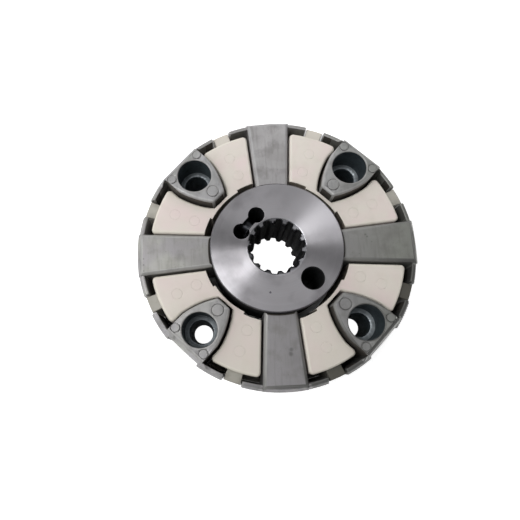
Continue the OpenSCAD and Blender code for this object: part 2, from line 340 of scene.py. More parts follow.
def seat_round(first: bpy.types.Object, body: Body, slot: str, name: str, node: str) -> None:
    """Seats a finished piece and three copies of it, each a quarter turn further round the shaft axis.

    Args:
        first: The finished piece, which stands for the first node.
        body: The body that they ride on.
        slot: The record's material slot, which is not used.
        name: The pieces' name, with a mark where the number goes.
        node: The CAD nodes' name, with the same mark.
    """
    for k in JAWS:
        piece = first if k == 1 else turned_copy(first, name.format(k), k - 1)
        seat(piece, body, slot, node.format(k))


def add_node(tree: Tree, kind: Kind, inputs: dict[str | int, object] | None = None, **settings: str) -> Node:
    """Adds one shader node with its settings, values and incoming links.

    Args:
        tree: The node tree.
        kind: The node's kind.
        inputs: What each input takes, by its name or index: a socket, a node's first output, a hex colour
            or a plain value.
        settings: Properties of the node.

    Returns:
        The new node.
    """
    node = tree.nodes.new(kind.value)
    for key, value in settings.items():
        setattr(node, key, value)
    for key, value in (inputs or {}).items():
        if isinstance(value, Node):
            value = value.outputs[0]
        if isinstance(value, Socket):
            tree.links.new(value, node.inputs[key])
        else:
            node.inputs[key].default_value = linear(value) if isinstance(value, str) else value
    return node


def fineness(size: float) -> float:
    """Gives the scale that draws a noise's grains about so many millimetres wide."""
    return 1 / (size * MM)


def layer(
    tree: Tree, under: Colour, over: Colour, pattern: Node | Socket, low: float, high: float,
    most: float = 1.0,
) -> Socket:
    """Lays one colour over another, as strongly as a pattern says.

    Args:
        tree: The material's node tree.
        under: The colour below.
        over: The colour on top.
        pattern: What differs from place to place.
        low: The pattern's value at which the top colour begins to show.
        high: The pattern's value at which it shows in full.
        most: Its share there.

    Returns:
        The mixed colour's socket.
    """
    reach = {"Value": pattern, "From Min": low, "From Max": high, "To Max": most}
    share = add_node(tree, Kind.RANGE, reach)
    mix = add_node(tree, Kind.MIX, {0: share, MIX_UNDER: under, MIX_OVER: over}, data_type="RGBA")
    return mix.outputs[MIX_RESULT]


class Side(NamedTuple):
    """A colour that lies over others on one side of the coupling."""

    colour: str
    # The side's direction, anticlockwise from +X
    degrees: float
    # How far along it, from the shaft axis, the colour begins to show, and shows in full
    near: float
    far: float


def side_layer(tree: Tree, under: Colour, side: Side) -> Socket:
    """Lays a colour over another on one side of the coupling.

    Args:
        tree: The material's node tree.
        under: The colour below.
        side: The colour on top and its side.

    Returns:
        The mixed colour's socket.
    """
    place = add_node(tree, Kind.PLACE).outputs["Object"]
    turn = math.radians(side.degrees)
    way = (math.cos(turn), math.sin(turn), 0.0)
    along = add_node(tree, Kind.VECTOR, {0: place, 1: way}, operation="DOT_PRODUCT").outputs["Value"]
    return layer(tree, under, side.colour, along, side.near * MM, side.far * MM)


def empty_tree(owner: bpy.types.Material | bpy.types.World) -> Tree:
    """Turns on the nodes of a material or a world, and clears them.

    Args:
        owner: The material or world.

    Returns:
        Its node tree.
    """
    owner.use_nodes = True
    owner.node_tree.nodes.clear()
    return owner.node_tree


class Cover(NamedTuple):
    """What a finish draws: its colour, its relief and the pattern that its roughness follows."""

    colour: Socket
    relief: Node
    pattern: Node


class Finish:
    """A material that is made once and shared by the pieces that it dresses."""

    name: str
    roughness: float
    metallic: float = 0.0
    # How far the pattern takes the roughness down and up
    spread: tuple[float, float] = (0.06, 0.1)
    # The relief's strength and depth
    relief: tuple[float, float]
    # The sides' colours, laid over what the finish draws: painted light and shade on one side of the coupling
    sides: tuple[Side, ...] = ()

    def draw(self, tree: Tree) -> Cover:
        """Draws what sets the finish apart.

        Args:
            tree: The material's node tree.

        Returns:
            The colour, the relief and the pattern.
        """
        raise NotImplementedError

    def extras(self, tree: Tree) -> dict[str, object]:
        """Gives the surface inputs that only this finish fills."""
        return {}

    def make(self) -> bpy.types.Material:
        """Builds the material at the first call, and finds it again later.

        Returns:
            The material.
        """
        found = bpy.data.materials.get(self.name)
        if found is not None:
            return found
        material = bpy.data.materials.new(self.name)
        tree = empty_tree(material)
        colour, relief, pattern = self.draw(tree)
        for side in self.sides:
            colour = side_layer(tree, colour, side)
        strength, depth = self.relief
        less, more = self.spread
        bump = {"Height": relief, "Strength": strength, "Distance": depth * MM}
        rough = {"To Min": self.roughness - less, "To Max": self.roughness + more}
        surface = add_node(tree, Kind.SURFACE, {
            "Base Color": colour, "Metallic": self.metallic, "Normal": add_node(tree, Kind.BUMP, bump),
            "Roughness": add_node(tree, Kind.RANGE, {"Value": pattern, **NOISE_SPAN, **rough}),
            **self.extras(tree),
        })
        add_node(tree, Kind.MATERIAL_OUT, {"Surface": surface})
        return material


def paint(piece: bpy.types.Object, drawing: Drawing, finish: Finish, test: FaceTest) -> None:
    """Gives a finish that the piece already holds to the faces that a test accepts.

    Args:
        piece: The object to paint.
        drawing: How the piece's places are read.
        finish: The finish.
        test: Tells from a face's middle and its normal whether it takes the finish.
    """
    slot = piece.data.materials.find(finish.name)
    for face in piece.data.polygons:
        if test(drawing.spot(face.center), face.normal):
            face.material_index = slot


def dress(
    piece: bpy.types.Object, drawing: Drawing, base: Finish, *others: tuple[Finish, FaceTest | None]
) -> None:
    """Gives a piece its finishes: one all over, and others on the faces that their tests accept.

    Args:
        piece: The object to dress.
        drawing: How the piece's places are read.
        base: The finish all over.
        others: Further finishes, each with its test, or with none if it is given later.
    """
    piece.data.materials.clear()
    piece.data.materials.append(base.make())
    for finish, test in others:
        piece.data.materials.append(finish.make())
        if test is not None:
            paint(piece, drawing, finish, test)


def round_edges(
    piece: bpy.types.Object, drawing: Drawing, width_at: EdgeWidth, segments: int,
    finish: Finish | None = None,
) -> None:
    """Rounds the sharp edges of a piece, each to the width that its place asks for.

    Args:
        piece: The object to round.
        drawing: How the piece's places are read.
        width_at: Gives the width of the rounding from an edge's middle and its angle in degrees.
        segments: How many faces go across it.
        finish: The finish of the new faces, or none to take their neighbours'.
    """
    with editing(piece, Pick.EDGES):
        mesh = bmesh.from_edit_mesh(piece.data)
        weight = mesh.edges.layers.float.get("bevel_weight_edge")
        weight = weight or mesh.edges.layers.float.new("bevel_weight_edge")
        widths = {}
        for edge in mesh.edges:
            if len(edge.link_faces) == 2 and edge.calc_face_angle() > SHARP:
                middle = (edge.verts[0].co + edge.verts[1].co) / 2
                widths[edge] = width_at(drawing.spot(middle), math.degrees(edge.calc_face_angle_signed()))
        widest = max(widths.values())
        for edge, width in widths.items():
            edge[weight] = width / widest
        bmesh.update_edit_mesh(piece.data)
    slot = -1 if finish is None else piece.data.materials.find(finish.name)
    apply_modifier(
        piece, "BEVEL", width=widest * MM, segments=segments, limit_method="WEIGHT", use_clamp_overlap=False,
        loop_slide=False, miter_outer="MITER_ARC", material=slot,
    )
    pick_only(piece)
    bpy.ops.object.shade_smooth_by_angle(angle=SMOOTH)
    apply_modifier(piece, "WEIGHTED_NORMAL", keep_sharp=True, weight=FACE_WEIGHT)


@dataclass(frozen=True)
class TurnedSteel(Finish):
    """Carbon steel faced on a lathe: its fine rings round the shaft axis draw the light out into spokes."""

    name: str = "carbon_steel_faced_on_a_lathe"
    colour: str = "#C1BFC3"
    streak: str = "#B7B5B9"
    stain: str = "#9D9A9E"
    # Painted shade: the face darkens towards +50°, which damps the highlight there
    sides: tuple[Side, ...] = (Side("#ADABAF", 50, near=10, far=42),)
    roughness: float = 0.41
    metallic: float = 1.0
    spread: tuple[float, float] = (0.03, 0.05)
    relief: tuple[float, float] = (0.045, 0.02)
    # Real tool marks lie 0.2 mm apart. They are drawn coarser, so that the picture can show them
    ring: float = 1.1
    # How wide the clouds of old fluid are
    cloud: float = 18.18

    def draw(self, tree: Tree) -> Cover:
        """Draws the tool's rings and faint stains.

        Args:
            tree: The material's node tree.

        Returns:
            The colour, the rings and the clouds of old fluid.
        """
        place = add_node(tree, Kind.PLACE).outputs["Object"]
        flat = add_node(tree, Kind.VECTOR, {0: place, 1: (1.0, 1.0, 0.0)}, operation="MULTIPLY")
        radius = add_node(tree, Kind.VECTOR, {0: flat}, operation="LENGTH").outputs["Value"]
        height = add_node(tree, Kind.SPLIT, {0: place}).outputs["Z"]
        cut = add_node(tree, Kind.JOIN, {"X": radius, "Y": height})
        rings = add_node(tree, Kind.NOISE, {"Vector": cut, "Scale": fineness(self.ring), "Detail": 3.0})
        clouds = add_node(tree, Kind.NOISE, {"Vector": place, "Scale": fineness(self.cloud), "Detail": 5.0})
        turned = layer(tree, self.colour, self.streak, rings, low=0.2, high=0.8)
        stained = layer(tree, turned, self.stain, clouds, low=0.48, high=0.7, most=0.8)
        return Cover(stained, rings, clouds)

    def extras(self, tree: Tree) -> dict[str, object]:
        """Stretches the highlight across the rings."""
        tangent = add_node(tree, Kind.TANGENT, direction_type="RADIAL", axis="Z")
        return {"Tangent": tangent, "Anisotropic": 1.0, "Anisotropic Rotation": 0.25}


@dataclass(frozen=True)
class MachinedMetal(Finish):
    """Metal that a tool has cut: a satin ground with the tool's faint arcs in it."""

    name: str
    colour: str
    shadow: str
    roughness: float
    metallic: float = 1.0
    spread: tuple[float, float] = (0.05, 0.07)
    relief: tuple[float, float] = (0.2, 0.03)
    # Real tool marks lie 0.1 mm apart. They are drawn coarser, so that the picture can show them
    mark: float = 0.9
    # How far the marks are drawn out along the faces, as a share of their density
    drawn: tuple[float, float, float] = (0.25, 0.25, 1.0)
    # How wide the mottle's spots are
    mottle: float = 6.25

    def draw(self, tree: Tree) -> Cover:
        """Draws long tool marks and a soft mottle.

        Args:
            tree: The material's node tree.

        Returns:
            The colour, the marks and the mottle.
        """
        place = add_node(tree, Kind.PLACE).outputs["Object"]
        drawn = add_node(tree, Kind.VECTOR, {0: place, 1: self.drawn}, operation="MULTIPLY")
        marks = add_node(tree, Kind.NOISE, {"Vector": drawn, "Scale": fineness(self.mark), "Detail": 2.0})
        mottle = add_node(tree, Kind.NOISE, {"Vector": place, "Scale": fineness(self.mottle), "Detail": 4.0})
        both = add_node(tree, Kind.MATH, {0: marks, 1: mottle}, operation="MULTIPLY")
        return Cover(layer(tree, self.colour, self.shadow, both, low=0.15, high=0.4), marks, mottle)


@dataclass(frozen=True)
class MouldedElastomer(Finish):
    """Cream polyester elastomer from a mould: a soft satin skin, pinker here and yellower there."""

    name: str = "polyester_elastomer_moulded"
    colour: str = "#DDD6CD"
    pink: str = "#E1D0CE"
    grime: str = "#BDB7A9"
    grime_share: float = 0.25
    # The colour of the painted shade towards the bottom, where less light falls
    shade_below: str = "#B4AEA4"
    sides: tuple[Side, ...] = ()
    roughness: float = 0.5
    spread: tuple[float, float] = (0.05, 0.1)
    relief: tuple[float, float] = (0.1, 0.05)
    # How wide the pink clouds and the smears of grime are
    cloud: float = 26.3
    smear: float = 8.333
    # Real mould grain is 0.1 mm wide. It is drawn coarser, so that the picture can show it
    grain: float = 0.714

    def draw(self, tree: Tree) -> Cover:
        """Draws the clouded colour, the painted shade towards the bottom, faint grime and the mould's fine
        grain.

        Args:
            tree: The material's node tree.

        Returns:
            The colour, the grain and the smears of grime.
        """
        place = add_node(tree, Kind.PLACE).outputs["Object"]
        clouds = add_node(tree, Kind.NOISE, {"Vector": place, "Scale": fineness(self.cloud), "Detail": 2.0})
        smears = add_node(tree, Kind.NOISE, {"Vector": place, "Scale": fineness(self.smear), "Detail": 6.0})
        grain = add_node(tree, Kind.NOISE, {"Vector": place, "Scale": fineness(self.grain), "Detail": 2.0})
        fresh = layer(tree, self.colour, self.pink, clouds, low=0.38, high=0.62)
        # Painted shade: the colour darkens towards the bottom of the coupling
        shaded_towards_bottom = side_layer(tree, fresh, Side(self.shade_below, -110, near=-90, far=190))
        grimy = layer(tree, shaded_towards_bottom, self.grime, smears, low=0.5, high=0.78, most=self.grime_share)
        return Cover(grimy, grain, smears)


@dataclass(frozen=True)
class CastAluminium(Finish):
    """Die-cast aluminium as it left the die: a grey skin with cloudy flow marks, smudges and tiny pits."""

    name: str = "aluminium_die_cast_and_blasted"
    colour: str = "#B0B0B1"
    cloud: str = "#858583"
    smudge: str = "#6C6B69"
    # The colours towards the -Y, -X and +X sides, and in the knocks: painted shade towards -Y and +X,
    # greenish stains towards -X
    lower_half_shade: str = "#959396"
    green: str = "#A0A198"
    olive_right_shade: str = "#8F918B"
    bruise: str = "#4A4A48"
    smudge_share: float = 0.38
    sides: tuple[Side, ...] = ()
    roughness: float = 0.48
    metallic: float = 0.7
    relief: tuple[float, float] = (0.3, 0.06)
    # How wide the flow marks, the smears and the coloured patches are
    flow: float = 16.67
    smear: float = 9.09
    patch: float = 30.3
    # Real pits and grains are 0.1 mm wide. They are drawn coarser, so that the picture can show them
    pit: float = 1.6
    skin: float = 1.11
    # Scuffs run along Y: how wide they are, and their density along it as a share of that across
    scuff: float = 1.923
    scuff_share: float = 0.12
    # Knocks on the castings: the place and the reach of each
    knocks: tuple[tuple[float, float, float], ...] = (
        (-74.3, -60.9, 1.7), (63.9, 6.4, 1.0), (64.9, 4.8, 0.9), (5.3, -72.4, 1.8), (4.8, -75.4, 2.0),
        (-95.4, -3.5, 0.7), (-95.4, -7.9, 0.8), (-95.3, -12.4, 0.7),
    )
    # The share of a knock's reach that is bruised in full
    knock_core: float = 0.4

    def draw(self, tree: Tree) -> Cover:
        """Draws the flow marks, the smudges, the pits, the knocks, the skin's fine roughness and the painted
        shade towards -Y and +X.

        Args:
            tree: The material's node tree.

        Returns:
            The colour, the pitted skin and the smears.
        """
        place = add_node(tree, Kind.PLACE).outputs["Object"]
        drawn = add_node(tree, Kind.VECTOR, {0: place, 1: (1.0, self.scuff_share, 1.0)}, operation="MULTIPLY")
        flow, smears, patches, pits, skin, scuffs = (
            add_node(tree, Kind.NOISE, {
                "Vector": point, "Scale": fineness(size), "Detail": detail, "Distortion": distortion,
            })
            for point, size, detail, distortion in (
                (place, self.flow, 5.0, 0.6), (place, self.smear, 7.0, 0.0), (place, self.patch, 2.0, 0.4),
                (place, self.pit, 2.0, 0.0), (place, self.skin, 3.0, 0.0), (drawn, self.scuff, 3.0, 0.0),
            )
        )
        # Painted shade over the lower half, greenish stains on the -X side, and olive painted shade on the +X
        # side
        shade_below = side_layer(tree, self.colour, Side(self.lower_half_shade, -90, near=-80, far=0))
        greener = side_layer(tree, shade_below, Side(self.green, 180, near=30, far=90))
        patched = layer(tree, shade_below, greener, patches, low=0.42, high=0.62)
        shaded_towards_right = side_layer(tree, patched, Side(self.olive_right_shade, 0, near=30, far=85))
        clouded = layer(tree, shaded_towards_right, self.cloud, flow, low=0.36, high=0.66, most=0.45)
        scuffed = layer(tree, clouded, self.smudge, scuffs, low=0.5, high=0.75, most=0.35)
        smeared = layer(tree, scuffed, self.smudge, smears, low=0.5, high=0.7, most=self.smudge_share)
        pitted = layer(tree, smeared, self.smudge, pits, low=0.66, high=0.76, most=0.5)
        hollows = add_node(tree, Kind.RANGE, {"Value": pits, "From Min": 0.62, "From Max": 0.74})
        relief = add_node(tree, Kind.MATH, {0: skin, 1: hollows}, operation="SUBTRACT")
        bruised = layer(tree, pitted, self.bruise, self.knocked(tree, place), low=0.0, high=1.0, most=0.5)
        return Cover(bruised, relief, smears)

    def knocked(self, tree: Tree, place: Socket) -> Node:
        """Gives a share that is one in the knocks and none elsewhere.

        Args:
            tree: The material's node tree.
            place: The surface point.

        Returns:
            The node that gives the share.
        """
        flat = add_node(tree, Kind.VECTOR, {0: place, 1: (1.0, 1.0, 0.0)}, operation="MULTIPLY")
        total = None
        for x, y, reach in self.knocks:
            away = add_node(tree, Kind.VECTOR, {0: flat, 1: (x * MM, y * MM, 0.0)}, operation="DISTANCE")
            near, far = self.knock_core * reach * MM, reach * MM
            fade = {"From Min": near, "From Max": far, "To Min": 1.0, "To Max": 0.0}
            share = add_node(tree, Kind.RANGE, {"Value": away.outputs["Value"], **fade})
            total = add_node(tree, Kind.MATH, {0: total, 1: share}, operation="MAXIMUM") if total else share
        return total


@dataclass(frozen=True)
class DarkSteel(Finish):
    """Steel with a dark skin, from a hot bath or an oil quench: almost black, with a thin oily shine. The
    hub's bore and outer wall take it as painted shade.
    """

    name: str
    colour: str
    rubbed: str
    roughness: float = 0.36
    metallic: float = 0.85
    relief: tuple[float, float] = (0.15, 0.03)
    # Real crystals of the skin are too fine to see. The mottle is drawn coarser, so that it shows
    mottle: float = 2.381

    def draw(self, tree: Tree) -> Cover:
        """Draws a mottle of places where handling has rubbed the skin.

        Args:
            tree: The material's node tree.

        Returns:
            The colour, and the mottle as relief and as pattern.
        """
        place = add_node(tree, Kind.PLACE).outputs["Object"]
        mottle = add_node(tree, Kind.NOISE, {"Vector": place, "Scale": fineness(self.mottle), "Detail": 5.0})
        return Cover(layer(tree, self.colour, self.rubbed, mottle, low=0.4, high=0.75), mottle, mottle)


# The hub's face, where the light fans out into spokes
FACED = TurnedSteel()
# Broached steel coloured almost black: painted shade inside the bore, the slot and the holes
BORE_SHADE = DarkSteel("carbon_steel_broached_painted_bore_shade", "#0A0B0D", "#15171A", roughness=0.62, metallic=0.2)
# Steel filed by hand along the chamfer, duller than the turned face, and coloured darker as painted shade
# that keeps its edge from shining
CHAMFER_SHADE = MachinedMetal("carbon_steel_chamfer_filed_painted_shade", "#77767A", "#5F5E62", roughness=0.55)
# The punched mark's walls are coloured darker than the face round it: painted shade in the hollow
PUNCH_SHADE = MachinedMetal("carbon_steel_punched_painted_shade", "#77757A", "#656368", roughness=0.55)
# The hub's turned outer wall is coloured near black: painted shade for the gap round it
HUB_WALL_SHADE = DarkSteel(
    "carbon_steel_turned_painted_wall_shade", "#1B1B1C", "#29292A", roughness=0.6, metallic=0.3,
)
# The bore's mouth and the teeth's front ends: white where they mirror the lamp, dark elsewhere
TOOTH_END = MachinedMetal("carbon_steel_chamfered_and_oiled", "#A2A2A6", "#7E7E82", roughness=0.26)
# The cushions' faces: a warm white with a soft shine, darker towards the bottom by painted shade
MOULDED = MouldedElastomer()
# The cushions' rounded edges are coloured lighter and a little yellower than their faces: a painted highlight
EDGE_HIGHLIGHT = MouldedElastomer(
    "polyester_elastomer_edge_painted_highlight", "#E3DED3", "#E4DBD3", "#C2BCAE", grime_share=0.4, shade_below="#BDB8AC",
)
# The lugs are greyer than the cushions, lighter towards +Y by painted light and darker at the lower right by
# painted shade
LUG_SHADED = MouldedElastomer(
    "polyester_elastomer_lug_painted_light", "#A3A098", "#9E9B93", "#6B695F", grime_share=0.7,
    shade_below="#8C897F",
    sides=(Side("#D0CAC0", 90, near=25, far=92), Side("#4B4942", -45, near=38, far=84)),
)
# The walls that face the hub are coloured a darker brown: painted shade in the gap round the hub
BAND_SHADE = MouldedElastomer(
    "polyester_elastomer_band_painted_shade", "#9A9084", "#91877C", "#5A5249", grime_share=0.7, shade_below="#5F574E",
)
# Painted shade: the castings darken towards the lower right, away from the light
LOWER_RIGHT_SHADE = Side("#5A5A58", -45, near=20, far=80)
# The flange jaws' faces: matt grey, clouded and finely pitted, with painted shade towards -Y and +X
FLANGE_CAST = CastAluminium()
# The hub jaws' casting is a little lighter and warmer than the flange jaws'
HUB_CAST = CastAluminium(
    "aluminium_die_cast_tumbled", "#AFADAE", "#858381", "#6E6C69", lower_half_shade="#918F91", roughness=0.46,
)
# Casting skin rubbed on the edges, a step lighter than the faces
CAST_EDGE = CastAluminium(
    "aluminium_die_cast_edge_rubbed", "#AFAEAF", "#9D9C9D", "#807E7C", lower_half_shade="#9E9D9B", green="#A7A7A2",
    olive_right_shade="#9C9D98", smudge_share=0.4, sides=(LOWER_RIGHT_SHADE,), roughness=0.55, metallic=0.4,
)
# The wings are coloured darker than the faces, and take the painted shade at the lower right
WING_SKIN = CastAluminium(
    "aluminium_die_cast_wing_darkened", "#9B9A97", "#83827F", "#686764", sides=(LOWER_RIGHT_SHADE,), roughness=0.5,
)
# The walls that face the cushions and the seams by the hub are coloured dark brown: painted shade in the
# narrow gaps
GAP_SHADE = CastAluminium(
    "aluminium_die_cast_painted_gap_shade", "#5C5853", "#4E4A46", "#35322E", lower_half_shade="#45413C", green="#524F49",
    olive_right_shade="#45423C", smudge_share=0.5, roughness=0.6, metallic=0.4,
)
# Bored aluminium coloured dark: painted shade that keeps the counterbores and the holes black
HOLE_SHADE = MachinedMetal("aluminium_bored_painted_hole_shade", "#3D464B", "#2A3135", roughness=0.5, metallic=0.3)
# Aluminium cut by a spot facer: a ring in the counterbore's dark that shows only as a grey crescent
SPOT_FACED = MachinedMetal(
    "aluminium_spot_faced_and_oiled", "#B4BBC0", "#8A9196", roughness=0.48, metallic=0.5,
)
# Aluminium milled flat where the jaw stands on the flange, with the cutter's bright arcs
MILLED = MachinedMetal("aluminium_milled_flat", "#B3B4B6", "#9B9C9F", roughness=0.32, mark=1.4)
# Screws blackened in a hot bath
BLACK_OXIDE = DarkSteel("alloy_steel_black_oxide", "#1F2023", "#34353A")
# The screws' edges, where the black is rubbed through to grey
RUBBED_OXIDE = DarkSteel("alloy_steel_black_oxide_rubbed", "#4A4B4F", "#77787C", roughness=0.3)
# Sleeves quenched in oil, dark with a blue cast
SPRING_STEEL = DarkSteel("spring_steel_oil_quenched", "#26262A", "#4A4A50", roughness=0.42)


@dataclass
class ClampingHub:
    """The splined hub with its clamping slot."""

    drawing: Drawing = Drawing(90)
    top_z: float = 42.3
    outer_r: float = 47.4
    root_r: float = 20.0
    edge: float = 0.3
    # The zones round the punched mark and the balance hole
    punch: Zone = Zone(-6.7, -33.0, 1.4)
    balance: Zone = Zone(23.3, -24.3, 9.8)
    # How near the face, the back and the outer wall an edge is rounded, and how near the teeth it stays sharp
    face_near: float = 0.7
    back_near: float = 0.3
    rim_near: float = 1.0
    teeth_near: float = 0.6
    # How far the chamfer and the wall reach in from the outer radius
    chamfer_in: float = 0.7
    wall_in: float = 0.6
    # How far the bore's mouth reaches out from the teeth's roots
    mouth_out: float = 0.95
    # The mouth and the punched mark lie above this height, and the radial bores below it
    front_z: float = 30.0

    def width_at(self, spot: Spot, angle: float) -> float:
        """Gives the rounding of an edge.

        Args:
            spot: The edge's middle.
            angle: The edge's angle in degrees, below zero in a hollow.

        Returns:
            The width in millimetres.
        """
        at_end = spot.z > self.top_z - self.face_near or spot.z < self.back_near
        at_rim = spot.radius > self.outer_r - self.rim_near
        at_teeth = spot.radius < self.root_r + self.teeth_near
        at_hole = min(self.punch.away(spot), self.balance.away(spot)) < 0
        return self.edge if angle > 0 and (at_end or at_rim) and not (at_teeth or at_hole) else 0.0

    def on_chamfer(self, spot: Spot, normal: Vector) -> bool:
        """Tells whether a face is the chamfer round the hub."""
        return spot.radius > self.outer_r - self.chamfer_in and WALL < abs(normal.z) < LEVEL

    def in_hole(self, spot: Spot, normal: Vector) -> bool:
        """Tells whether a face lies inside the bore, the slot or a hole.

        Args:
            spot: The face's middle.
            normal: The face's normal.

        Returns:
            True for the faces that take the painted shade of the bore.
        """
        within = spot.radius < self.outer_r - self.wall_in and TOUCH < spot.z < self.top_z - TOUCH
        sloped = self.balance.away(spot) < 0 and abs(normal.z) < LEVEL
        return (within or sloped) and self.punch.away(spot) > 0

    def on_wall(self, spot: Spot, normal: Vector) -> bool:
        """Tells whether a face is the hub's outer wall."""
        return spot.radius > self.outer_r - self.wall_in and abs(normal.z) < WALL

    def on_mouth(self, spot: Spot, normal: Vector) -> bool:
        """Tells whether a face is the bore's mouth or the front end of a tooth."""
        at_mouth = spot.radius < self.root_r + self.mouth_out and spot.z > self.front_z
        return at_mouth and WALL < abs(normal.z) < LEVEL

    def on_punch(self, spot: Spot, normal: Vector) -> bool:
        """Tells whether a face is the wall of the punched mark."""
        return self.punch.away(spot) < 0 and spot.z > self.front_z and abs(normal.z) < LEVEL

    def build(self) -> None:
        """Models the hub and dresses it."""
        hub = merged_copy("hub", "clamping_hub")
        # The bore, the outer wall, the chamfer and the punched mark take painted shade
        dress(
            hub, self.drawing, FACED, (CHAMFER_SHADE, self.on_chamfer), (BORE_SHADE, self.in_hole),
            (HUB_WALL_SHADE, self.on_wall), (TOOTH_END, self.on_mouth), (PUNCH_SHADE, self.on_punch),
        )
        round_edges(hub, self.drawing, self.width_at, 2)
        seat(hub, Body.HUB, "turned_steel", "hub")


@dataclass
class CushionRing:
    """The moulded ring of cushions."""

    drawing: Drawing = Drawing(90)
    top_z: float = 36.4
    band_out: float = 54.4
    cushion_out: float = 91.5
    # The roundings of the cushions' top edges, of their other edges and of the bands' edges
    edge: float = 2.0
    side_edge: float = 0.7
    band_edge: float = 0.5
    # How near the top or the back an edge belongs to it, and how far down the cushions' corners are rounded
    top_near: float = 0.3
    corner_deep: float = 4.0
    # How far outside the cushions the lugs' faces begin, and their rounded edges
    lug_face: float = 0.3
    lug_edge: float = 0.6
    # The bands' edges between these heights are too close to each other to round
    band_sharp: tuple[float, float] = (1.0, 8.0)
    # The ejector marks: on each cushion's middle line, this far out
    mark_out: tuple[float, float] = (78.0, 62.7)
    mark_r: float = 4.4
    # The grooves round the marks are lifted in the visual mesh, because the mould leaves them almost flat
    groove_z: float = 36.2
    groove_near: float = 0.02
    groove_lift: float = 0.17

    def width_at(self, spot: Spot, angle: float) -> float:
        """Gives the rounding of an edge.

        Args:
            spot: The edge's middle.
            angle: The edge's angle in degrees, below zero in a hollow.

        Returns:
            The width in millimetres.
        """
        turn = math.atan2(spot.out, spot.across) % (QUARTER / 2) - QUARTER / 4
        along, aside = spot.radius * math.cos(turn), spot.radius * math.sin(turn)
        on_mark = min(math.hypot(along - out, aside) for out in self.mark_out) < self.mark_r
        at_top = spot.z > self.top_z - self.top_near
        if angle < 0 or (on_mark and at_top):
            return 0.0
        if spot.radius < self.band_out:
            return 0.0 if self.band_sharp[0] < spot.z < self.band_sharp[1] else self.band_edge
        if at_top:
            return self.edge
        at_corner = spot.z > self.top_z - self.corner_deep or spot.z < self.top_near
        return self.side_edge if at_corner else 0.0

    def on_lug(self, spot: Spot, normal: Vector) -> bool:
        """Tells whether a face lies outside the cushions, on a lug."""
        return spot.radius > self.cushion_out + self.lug_face

    def on_lug_edge(self, spot: Spot, normal: Vector) -> bool:
        """Tells whether a rounded edge belongs to a lug."""
        return spot.radius > self.cushion_out + self.lug_edge

    def on_band(self, spot: Spot, normal: Vector) -> bool:
        """Tells whether a face is a wall that looks at the hub."""
        return spot.radius < self.band_out and abs(normal.z) < STEEP

    def build(self) -> None:
        """Models the ring and dresses it."""
        ring = merged_copy("element", "cushion_ring_moulding")
        with editing(ring, Pick.POINTS):
            mesh = bmesh.from_edit_mesh(ring.data)
            for vertex in mesh.verts:
                vertex.select = abs(vertex.co.z / MM - self.groove_z) < self.groove_near
            mesh.select_flush_mode()
            bmesh.update_edit_mesh(ring.data)
            bpy.ops.transform.translate(value=(0, 0, self.groove_lift * MM))
        # The rounded edges take a painted highlight, the lugs painted light and shade, and the walls by the
        # hub painted shade
        dress(
            ring, self.drawing, MOULDED, (EDGE_HIGHLIGHT, None), (LUG_SHADED, self.on_lug), (BAND_SHADE, self.on_band),
        )
        round_edges(ring, self.drawing, self.width_at, 3, EDGE_HIGHLIGHT)
        paint(ring, self.drawing, LUG_SHADED, self.on_lug_edge)
        seat(ring, Body.RING, "cushion_plastic", "element")


